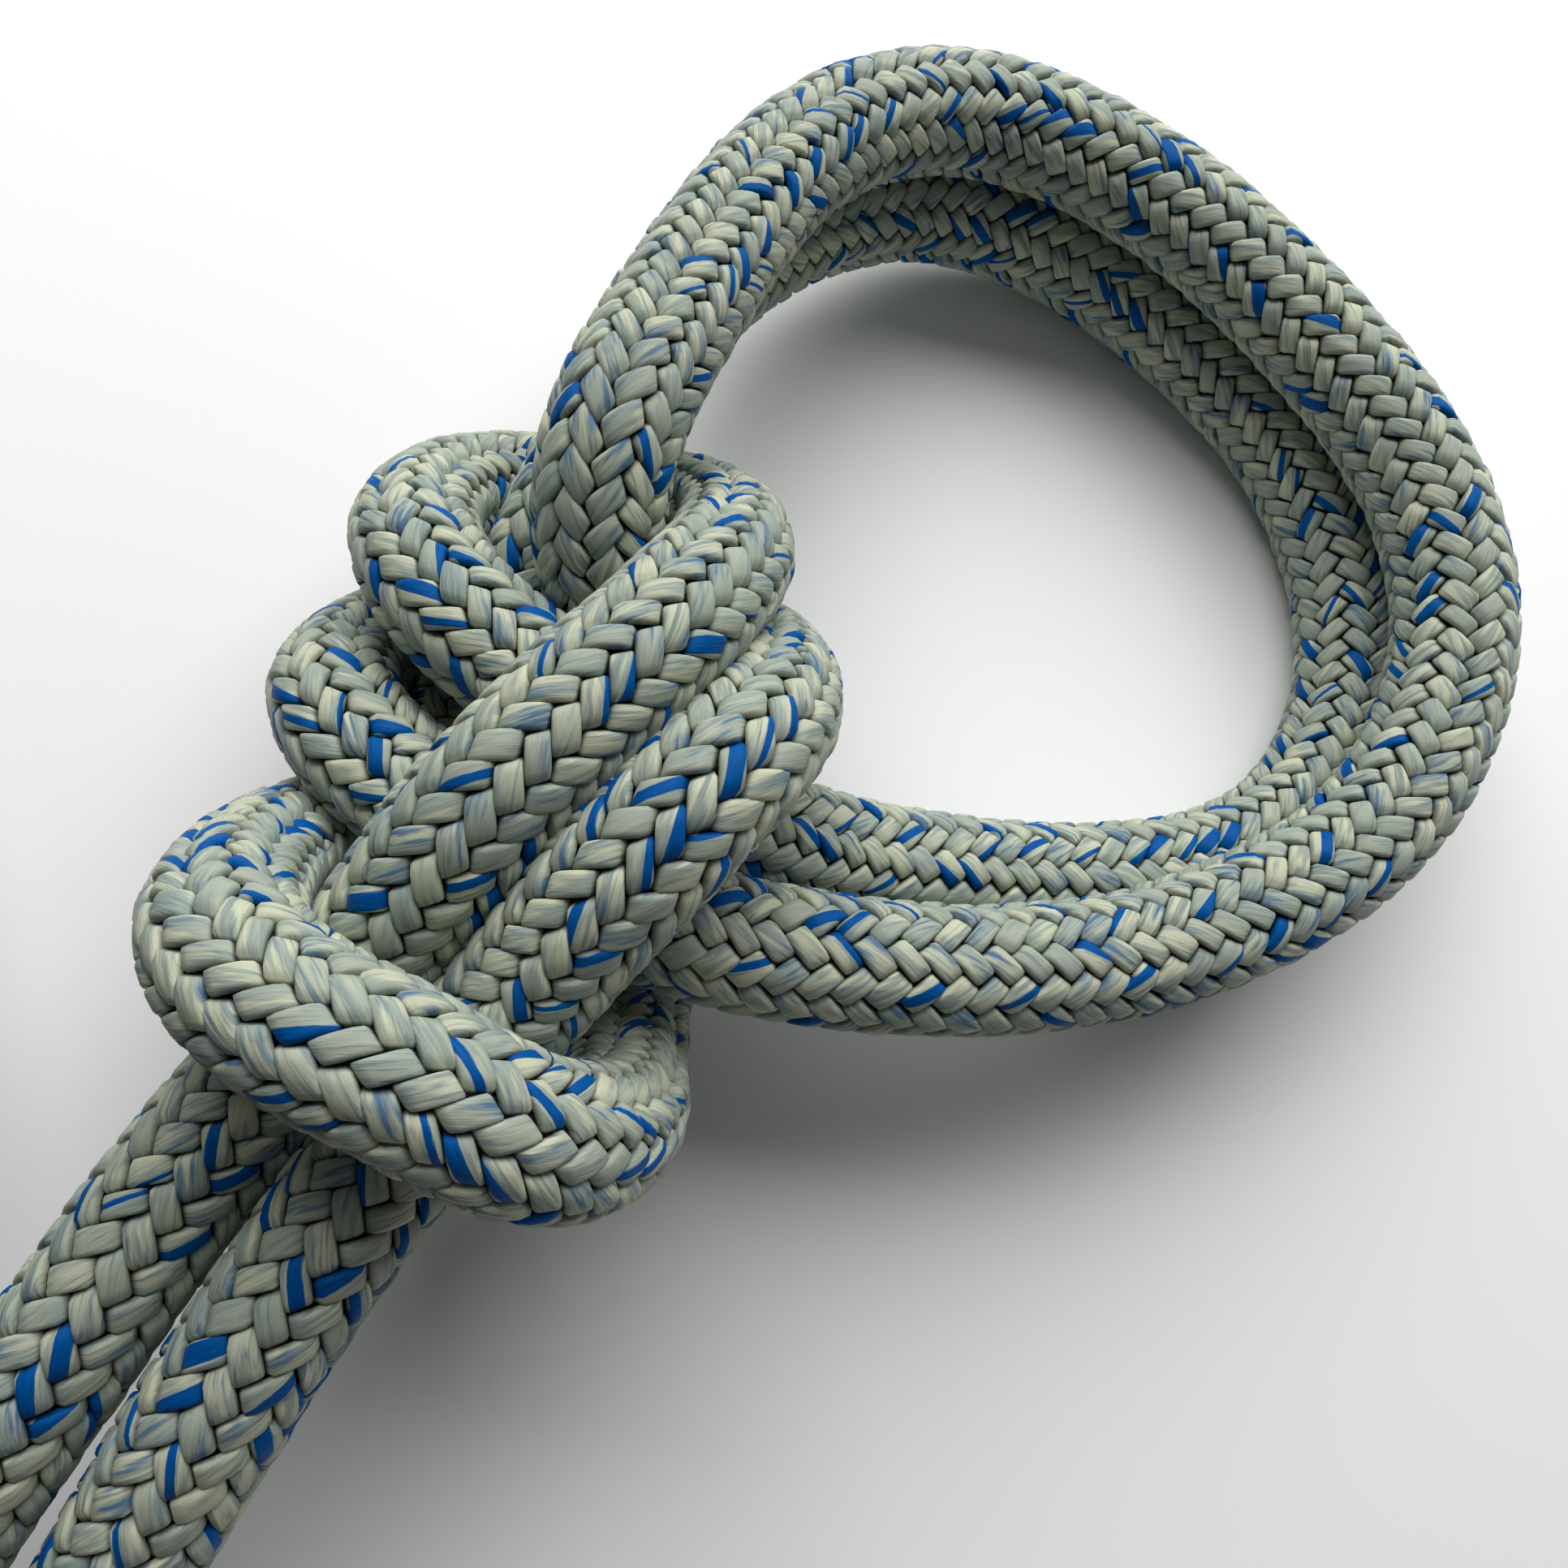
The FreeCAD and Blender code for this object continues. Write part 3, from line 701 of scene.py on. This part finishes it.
def braid_stretch(name, start, end, profile, rows_per_float):
    """One stretch of the braided sheath as a mesh of its yarns."""
    rope = bpy.context.scene.rope
    length = rope_line().length
    lay, turns = braid_turns()
    columns = len(profile) - 1
    each = rope.yarns_each_way
    per_turn = 2.0 * each
    rng = np.random.default_rng(BRAID_SEED)
    floats = int(turns[-1] * per_turn / FLOAT_SPAN) + SPARE_FLOATS
    swell, lift, lean = rng.uniform(-1.0, 1.0, (3, 2 * each, floats))
    begun, ended = np.interp((start, end), length, turns)
    rows = max(2, int(round((ended - begun) * per_turn / FLOAT_SPAN * rows_per_float)))
    bm = bmesh.new()
    for yarn in range(2 * each):
        add_grid(bm, columns, rows, SPACING * yarn)
    mesh = mesh_from(bm, name)
    flat = coordinates(mesh)
    yarn = np.round(flat[:, 0] / SPACING).astype(int)
    column = np.round((flat[:, 0] - SPACING * yarn + 0.5) * columns).astype(int)
    across, fall = np.array(profile)[column].T
    share = flat[:, 1] + 0.5
    sign = np.where(yarn < each, 1.0, -1.0)
    index = np.where(yarn < each, yarn, yarn - each)
    # Crossings are counted so that a yarn is highest where the count is a multiple of the span
    shift = np.where(sign > 0, 2.0 * index - 0.5, 2.5 - 2.0 * index)
    first = begun * per_turn + shift
    last = ended * per_turn + shift
    first = first if start <= 0.0 else hidden_dip(first)
    last = last if end >= length[-1] else hidden_dip(last)
    count = first + (last - first) * share
    # Rows stand closer together where a yarn dives under the next one
    inside = share * (1.0 - share) > 0.0
    count = count + np.where(inside, ROW_SHIFT * np.sin(math.pi * count), 0.0)
    wound = (count - shift) / per_turn
    along = np.interp(wound, turns, length)
    here = np.interp(along, length, lay)
    slope = np.arctan2(math.pi * rope.crown_diameter, here)
    room = math.pi * rope.crown_diameter / each * np.cos(slope)
    number = np.floor((count + FLOAT_SPAN / 2.0) / FLOAT_SPAN).astype(int) % floats
    over_share = np.cos(math.pi / 2.0 * count) - rope.dip_lead
    over_share = 0.5 + 0.5 * np.tanh(rope.dip_sharpness * over_share)
    from_top = count - FLOAT_SPAN * np.round(count / FLOAT_SPAN)
    width = room * rope.yarn_fill * (HIDDEN_WIDTH + (1.0 - HIDDEN_WIDTH) * over_share)
    width = width * (1.0 + FLOAT_SWELL * swell[yarn, number] * over_share)
    turn = lean[yarn, number] * FLOAT_LEAN * over_share
    reach = across * width
    crown = crown_radius(along)
    radius = crown - rope.yarn_depth * (1.0 - over_share) - rope.yarn_rounding * fall
    lifted = FLOAT_LIFT * lift[yarn, number] - rope.yarn_arch * from_top ** 2
    radius = radius + over_share * lifted
    angle = sign * math.tau * wound + math.tau * index / each
    angle = angle + reach * np.cos(slope) / (rope.crown_diameter / 2.0)
    moved = along - sign * reach * (np.sin(slope) + turn)
    place_vertices(mesh, settle(on_rope(moved, angle, radius)))
    far = from_top * here / per_turn / np.cos(slope) / room
    chance, slant = rng.uniform(0.0, 1.0, (2, 2 * each, floats))[:, yarn, number]
    least, most = rope.ply_slant
    keep(mesh, "yarn_place", np.stack([across + 0.5, far, chance], axis=1))
    keep(mesh, "yarn_twist", sign * (least + (most - least) * slant))
    # Depth mask for the painted shade in the yarn's dips and at its edges
    keep(mesh, "yarn_height", over_share * (1.0 - EDGE_DEPTH * np.minimum(fall, 1.0)))
    return smooth(mesh)


def add_object(name, data):
    """Put a new object into the scene, with its mesh, light or camera."""
    made = bpy.data.objects.new(name, data)
    bpy.context.collection.objects.link(made)
    return made


def join_meshes(name, meshes, materials):
    """One object from several meshes, each with its own material."""
    bm = bmesh.new()
    for number, mesh in enumerate(meshes):
        before = len(bm.faces)
        bm.from_mesh(mesh)
        bm.faces.ensure_lookup_table()
        for face in bm.faces[before:]:
            face.material_index = number
        bpy.data.meshes.remove(mesh)
    made = mesh_from(bm, name)
    for material in materials:
        made.materials.append(material)
    return add_object(name, made)


def under_tube(name, start, end, sides):
    """The tube painted in shade colour that shows between the yarns of one stretch."""
    rope = bpy.context.scene.rope
    mesh, column, row = strip_mesh(name, sides, max(2, int((end - start) / PATH_STEP)))
    along = start + (end - start) * row
    angle = math.tau * (column - 0.5)
    radius = crown_radius(along) * rope.core_radius_share
    place_vertices(mesh, settle(on_rope(along, angle, radius)))
    return close_seams(mesh)


def strip_mesh(name, columns, rows):
    """A grid as a mesh, and each vertex's place in it by column and by row, as shares."""
    bm = bmesh.new()
    add_grid(bm, columns, rows, 0.0)
    mesh = mesh_from(bm, name)
    flat = coordinates(mesh)
    return mesh, flat[:, 0] + 0.5, flat[:, 1] + 0.5


def close_seams(mesh):
    """Merge a mesh's doubled edges, close its open ends and turn its faces out."""
    bm = bmesh.new()
    bm.from_mesh(mesh)
    bmesh.ops.remove_doubles(bm, verts=bm.verts, dist=SEAM_WIDTH)
    open_edges = [edge for edge in bm.edges if edge.is_boundary]
    if open_edges:
        bmesh.ops.holes_fill(bm, edges=open_edges, sides=0)
    bmesh.ops.recalc_face_normals(bm, faces=bm.faces)
    bm.to_mesh(mesh)
    bm.free()
    return smooth(mesh)


def sleeve_section(rows):
    """Closed section of a sleeve: shares of its length, and radii."""
    ends = bpy.context.scene.ends
    outer = ends.sleeve_diameter / 2.0
    inner = outer - ends.sleeve_wall
    lip = ends.sleeve_wall / 2.0
    share = lip / ends.sleeve_length
    turn = np.linspace(0.0, math.pi, 7)
    far = np.stack([1.0 - share + share * np.sin(turn), inner + lip + lip * np.cos(turn)], axis=1)
    near = np.stack([share - share * np.sin(turn), inner + lip - lip * np.cos(turn)], axis=1)
    outside = np.stack([np.linspace(share, 1.0 - share, rows), np.full(rows, outer)], axis=1)
    return np.concatenate([outside[:-1], far, near])


def sleeve_mesh(name, at_start):
    """Sleeve shrunk on the rope next to one of its ends, with the braid showing through."""
    rope = bpy.context.scene.rope
    ends = bpy.context.scene.ends
    length = rope_line().length
    section = sleeve_section(rows=72)
    mesh, column, row = strip_mesh(name, 96, len(section) - 1)
    share, radius = section[np.round(row * (len(section) - 1)).astype(int)].T
    along = ends.sleeve_setback + ends.sleeve_length * share
    along = along if at_start else length[-1] - along
    angle = math.tau * column
    winding = math.tau * np.interp(along, length, braid_turns()[1])
    each = rope.yarns_each_way
    relief = np.cos(each * (angle - winding)) + np.cos(each * (angle + winding))
    # The braid shows on the outside alone
    outside = radius * 2.0 - ends.sleeve_diameter + RELIEF_FADE
    outside = np.clip(outside / RELIEF_FADE, 0.0, 1.0)
    radius = radius + ends.sleeve_relief * 0.5 * relief * outside
    place_vertices(mesh, settle(on_rope(along, angle, radius)))
    return close_seams(mesh)


def seal_mesh(name, at_start):
    """Melted end of the rope: a lump with a rolled rim, worked out from a sphere."""
    ends = bpy.context.scene.ends
    line = rope_line()
    index = 0 if at_start else -1
    side, over = line.side[index], line.over[index]
    outward = np.cross(side, over) * (-1.0 if at_start else 1.0)
    bm = bmesh.new()
    bmesh.ops.create_uvsphere(bm, u_segments=96, v_segments=40, radius=1.0)
    mesh = mesh_from(bm, name)
    ball = coordinates(mesh)
    x, y, z = ball.T
    angle = np.arctan2(y, x)
    reach = np.hypot(x, y) ** SEAL_RIM
    rise = np.sign(z) * np.abs(z) ** SEAL_FACE
    lump = np.array([noise.noise(Vector(point) * SEAL_LUMPS) for point in ball])
    apart = Vector((9.0, 0.0, 0.0))
    small = np.array([noise.noise(Vector(point) * SEAL_SMALL_LUMPS + apart) for point in ball])
    furrow = FURROW_DEPTH * np.cos(SEAL_FURROWS * angle)
    radius = ends.seal_diameter / 2.0 * reach * (1.0 + furrow + SEAL_SWELL * lump)
    middle, face, lumps, smalls = SEAL_HEIGHTS
    height = ends.seal_length * (middle + face * rise + lumps * lump + smalls * small)
    hollow = ends.seal_length * SEAL_HOLLOW * np.maximum(1.0 - reach, 0.0) ** 1.5
    height = height - np.where(rise > 0.0, hollow, 0.0)
    place_vertices(mesh, settle(
        line.place[index] + height[:, None] * outward + radius[:, None] * (
            np.cos(angle)[:, None] * side + np.sin(angle)[:, None] * over)))
    return close_seams(mesh)


def strap_line(inner, outer, top):
    """Middle line of a strap in the coil's section, from its inner end to its tongue's tip."""
    ends = bpy.context.scene.ends
    half = ends.strap_thickness / 2.0
    bend = ends.strap_corner
    left, right, low, high = inner + half, outer - 3.0 * half, half, top - half
    line = [np.array([[right, high - bend - STRAP_TOP_GAP], [right, low + bend + STRAP_LOW_GAP]])]
    centres = ((right - bend, low + bend), (left + bend, low + bend),
               (left + bend, high - bend), (right - bend, high - bend))
    for number, centre in enumerate(centres):
        turn = -0.5 * math.pi * (number + np.linspace(0.0, 1.0, 25))
        line.append(np.array(centre) + bend * np.stack([np.cos(turn), np.sin(turn)], axis=1))
    share = np.linspace(0.0, 1.0, 40)[1:]
    step = np.clip(share * ends.tongue_length / LAP_RUN, 0.0, 1.0)
    lapped = right + 2.0 * half * step * step * (3.0 - 2.0 * step)
    line.append(np.stack([lapped, high - bend - share * ends.tongue_length], axis=1))
    return np.concatenate(line)


def strap_frame(angle, node):
    """Lengths, places and headings along a strap's line, and its direction outwards."""
    out = Vector((math.cos(math.radians(angle)), math.sin(math.radians(angle)), 0.0))
    found = coordinates(bpy.data.objects[node].data)
    radial = (found[:, :2] - np.array(COIL_CENTRE)) @ np.array(out[:2])
    line = strap_line(radial.min(), radial.max(), found[:, 2].max())
    reach = distances(line)
    length = np.linspace(0.0, reach[-1], int(reach[-1] / STRAP_STEP))
    place = between(length, reach, line)
    return length, place, unit(np.gradient(place, axis=0)), np.array(out)


def on_strap(strap, distance, across, height):
    """Points on a strap at a distance along it, a place across it and a height off its middle."""
    length, place, heading, out = strap
    middle = between(distance, length, place)
    ahead = unit(between(distance, length, heading))
    radial = middle[:, 0] - ahead[:, 1] * height
    up = middle[:, 1] + ahead[:, 0] * height
    beside = np.array((-out[1], out[0], 0.0))
    points = np.array((*COIL_CENTRE, 0.0)) + radial[:, None] * out + across[:, None] * beside
    points[:, 2] = up
    return points


def webbing_section():
    """Closed section of the webbing: places across it and heights, with rounded edges."""
    ends = bpy.context.scene.ends
    half, thick = ends.strap_width / 2.0, ends.strap_thickness / 2.0
    turn = np.linspace(0.0, math.pi, 6)
    right = np.stack([half - thick + thick * np.sin(turn), thick * np.cos(turn)], axis=1)
    left = np.stack([thick - half - thick * np.sin(turn), -thick * np.cos(turn)], axis=1)
    top = np.stack([np.linspace(thick - half, half - thick, 16), np.full(16, thick)], axis=1)
    under = np.stack([np.linspace(half - thick, thick - half, 10), np.full(10, -thick)], axis=1)
    return np.concatenate([top[:-1], right, under[1:-1], left])


def webbing_mesh(name, strap):
    """The webbing of one strap, ribbed across, with its tip cut round."""
    ends = bpy.context.scene.ends
    total = strap[0][-1]
    section = webbing_section()
    rows = int(total / ends.rib_pitch * 4.0)
    mesh, column, row = strip_mesh(name, len(section) - 1, rows)
    across, height = section[np.round(column * (len(section) - 1)).astype(int)].T
    distance = row * total
    thick = ends.strap_thickness / 2.0
    from_tip = np.minimum(distance, total - distance)
    narrow = np.clip(1.0 - from_tip / TIP_ROUNDING, 0.0, 1.0) ** 2
    across = across * (1.0 - TIP_NARROWING * narrow)
    rib = np.cos(math.tau * distance / ends.rib_pitch) * RIB_HEIGHT
    ribbed = np.sign(height) * rib * (np.abs(height) > 0.9 * thick)
    height = height * (1.0 - TIP_THINNING * narrow) + ribbed
    points = on_strap(strap, distance, across, height)
    points[:, 2] = np.maximum(points[:, 2], 0.0)
    place_vertices(mesh, points)
    keep(mesh, "weave_place", np.stack(
        [across / ends.strap_width + 0.5, distance / ends.rib_pitch, np.sign(height)], axis=1))
    return close_seams(mesh)


def stitches_mesh(name, strap):
    """Stitches down both sides of the tongue and across its ends."""
    ends = bpy.context.scene.ends
    total = strap[0][-1]
    side = ends.strap_width / 2.0 - STITCH_EDGE
    start, end = total - ends.tongue_length + STITCH_START, total - STITCH_END
    rows = int((end - start) / ends.stitch_length)
    seats = []
    for index in range(rows + 1):
        place = start + (end - start) * index / rows
        seats += [(place, -side, 0.0), (place, side, 0.0)]
    columns = int(2.0 * side / ends.stitch_length)
    for index in range(columns):
        place = -side + 2.0 * side * (index + 0.5) / columns
        seats += [(start - CROSS_ROW, place, 1.0), (end + CROSS_ROW, place, 1.0)]
    bm = bmesh.new()
    for number in range(len(seats)):
        shift = Matrix.Translation((SPACING * number, 0.0, 0.0))
        bmesh.ops.create_uvsphere(bm, u_segments=10, v_segments=7, radius=1.0, matrix=shift)
    mesh = mesh_from(bm, name)
    ball = coordinates(mesh)
    number = np.round(ball[:, 0] / SPACING).astype(int)
    ball[:, 0] -= SPACING * number
    place, beside, turned = np.array(seats)[number].T
    long = ball[:, 2] * ends.stitch_length * STITCH_SHARE
    wide = ball[:, 0] * STITCH_WIDE
    distance = place + np.where(turned > 0.5, wide, long)
    across = beside + np.where(turned > 0.5, long, wide)
    dip = STITCH_DIP * ball[:, 2] ** 2
    height = ends.strap_thickness / 2.0 + STITCH_LIFT - dip + ball[:, 1] * STITCH_HIGH
    place_vertices(mesh, on_strap(strap, distance, across, height))
    return close_seams(mesh)


def path_between(start, end):
    """Points of the rope's line between two distances along it."""
    line = rope_line()
    along = np.linspace(start, end, max(3, int((end - start) / PATH_STEP)))
    return [tuple(point) for point in between(along, line.length, line.place).tolist()]


def fit(piece, slot, *nodes):
    """Attach a piece to the root body and hide the nodes that it replaces. Its slot is not used."""
    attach(piece, "root")
    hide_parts(*nodes)


class ROPE_OT_braid(bpy.types.Operator):
    """Braid one stretch of the rope's sheath over its core"""
    bl_idname = "rope.braid"
    bl_label = "Braid a stretch"
    stretch: StringProperty(name="Stretch", description="Name of the stretch", default="collar")

    def execute(self, context):
        start, end = stretch_spans()[self.stretch]
        coiled = self.stretch.startswith("coil")
        profile, rows, sides = (RIBBON_PLAIN, 6, 12) if coiled else (RIBBON_FINE, 12, 20)
        yarns = braid_stretch(self.stretch + "_yarns", start, end, profile, rows)
        tube = under_tube(self.stretch + "_tube", start, end, sides)
        piece = join_meshes(self.stretch + "_braid", [yarns, tube],
                            [yarn_material(), shade_material()])
        node = "coil" if coiled else self.stretch
        fit(piece, "braided_sheath", node + "_sheath", node + "_core")
        path = path_between(start, end)
        far_end = "bare" if self.stretch in ("tail", "coil_%d" % COIL_PIECES) else "object"
        exit_place = path[-1] if self.stretch == "tail" else path[0]
        end - start
        return {"FINISHED"}


class ROPE_OT_end(bpy.types.Operator):
    """Shrink a sleeve on one end of the rope and melt the end"""
    bl_idname = "rope.end"
    bl_label = "Finish an end"
    end: StringProperty(name="End", description="Which end: tail or coil", default="tail")

    def execute(self, context):
        at_start = self.end == "tail"
        makers = (
            ("end_sleeve", "shrunk_sleeve", sleeve_mesh, sleeve_material, "shrink_sleeve"),
            ("end_seal", "melted_end", seal_mesh, melted_material, "melted_end"))
        for node, title, maker, material, slot in makers:
            name = self.end + "_" + title
            piece = join_meshes(name, [maker(name, at_start)], [material()])
            fit(piece, slot, self.end + "_" + node)
        return {"FINISHED"}


class ROPE_OT_strap(bpy.types.Operator):
    """Fasten one strap of webbing round the coil"""
    bl_idname = "rope.strap"
    bl_label = "Fasten a strap"
    number: IntProperty(name="Number", description="Which strap, counted from one", default=1)

    def execute(self, context):
        node = "coil_strap_%d" % self.number
        found = strap_frame(STRAP_ANGLES[self.number - 1], node)
        name = "strap_%d_webbing" % self.number
        parts = [webbing_mesh(name, found), stitches_mesh(name + "_stitches", found)]
        piece = join_meshes(name, parts, [webbing_material(), thread_material()])
        fit(piece, "strap_webbing", node)
        return {"FINISHED"}


class ROPE_OT_stage(bpy.types.Operator):
    """Lay the floor and place the lights and the camera"""
    bl_idname = "rope.stage"
    bl_label = "Set the stage"

    def execute(self, context):
        settings = context.scene.stage
        bm = bmesh.new()
        bmesh.ops.create_grid(bm, x_segments=1, y_segments=1, size=settings.floor_size / 2.0)
        mesh = mesh_from(bm, "floor")
        mesh.materials.append(floor_material())
        add_object("floor", mesh)
        place_light("key_light", KEY_PLACE, KEY_SIZE, settings.key_power)
        place_light("fill_light", FILL_PLACE, FILL_SIZE, settings.fill_power)
        world = bpy.data.worlds.new("surroundings")
        world.use_nodes = True
        sky = world.node_tree.nodes["Background"].inputs
        sky["Strength"].default_value = settings.sky_strength
        sky["Color"].default_value = (1.0, 1.0, 1.0, 1.0)
        context.scene.world = world
        context.scene.view_settings.view_transform = "Standard"
        camera_data = bpy.data.cameras.new("camera")
        camera_data.sensor_width = 36.0
        camera_data.lens = settings.focal_length
        camera_data.clip_start, camera_data.clip_end = 0.005, 20.0
        camera = add_object("camera", camera_data)
        right = Vector(CAMERA_RIGHT)
        forward = Vector(CAMERA_FORWARD).normalized()
        right = (right - forward * right.dot(forward)).normalized()
        turn = Matrix((right, right.cross(forward), -forward)).transposed().to_4x4()
        camera.matrix_world = Matrix.Translation(settings.camera_place) @ turn
        context.scene.camera = camera
        return {"FINISHED"}


def place_light(name, place, size, power):
    """Soft rectangular light that shines at the middle of the knot."""
    data = bpy.data.lights.new(name, "AREA")
    data.shape = "RECTANGLE"
    data.size, data.size_y = size
    data.energy = power
    light = add_object(name, data)
    toward = Vector(LIGHT_AIM) - Vector(place)
    turn = toward.to_track_quat("-Z", "Y").to_matrix().to_4x4()
    light.matrix_world = Matrix.Translation(place) @ turn


class ROPE_PT_panel(bpy.types.Panel):
    """Steps that build the rope"""
    bl_label = "Climbing rope"
    bl_idname = "ROPE_PT_panel"
    bl_space_type = "VIEW_3D"
    bl_region_type = "UI"
    bl_category = "Rope"

    def draw(self, context):
        for step in STEPS:
            self.layout.operator(step.bl_idname)


GROUPS = (("rope", RopeSettings), ("ends", EndSettings), ("stage", StageSettings))
STEPS = (ROPE_OT_end, ROPE_OT_strap, ROPE_OT_braid, ROPE_OT_stage)


def register():
    """Add the settings, the steps and the panel to Blender."""
    for name, group in GROUPS:
        bpy.utils.register_class(group)
        setattr(bpy.types.Scene, name, PointerProperty(type=group))
    for item in (*STEPS, ROPE_PT_panel):
        bpy.utils.register_class(item)


def unregister():
    """Take them out again."""
    for item in (ROPE_PT_panel, *reversed(STEPS)):
        bpy.utils.unregister_class(item)
    for name, group in reversed(GROUPS):
        delattr(bpy.types.Scene, name)
        bpy.utils.unregister_class(group)


def main():
    """Build every piece in order."""
    register()
    for end in ("tail", "coil"):
        bpy.ops.rope.end(end=end)
    for number in range(1, len(STRAP_ANGLES) + 1):
        bpy.ops.rope.strap(number=number)
    for stretch in stretch_spans():
        bpy.ops.rope.braid(stretch=stretch)
    bpy.ops.rope.stage()


if __name__ == "__main__":
    main()
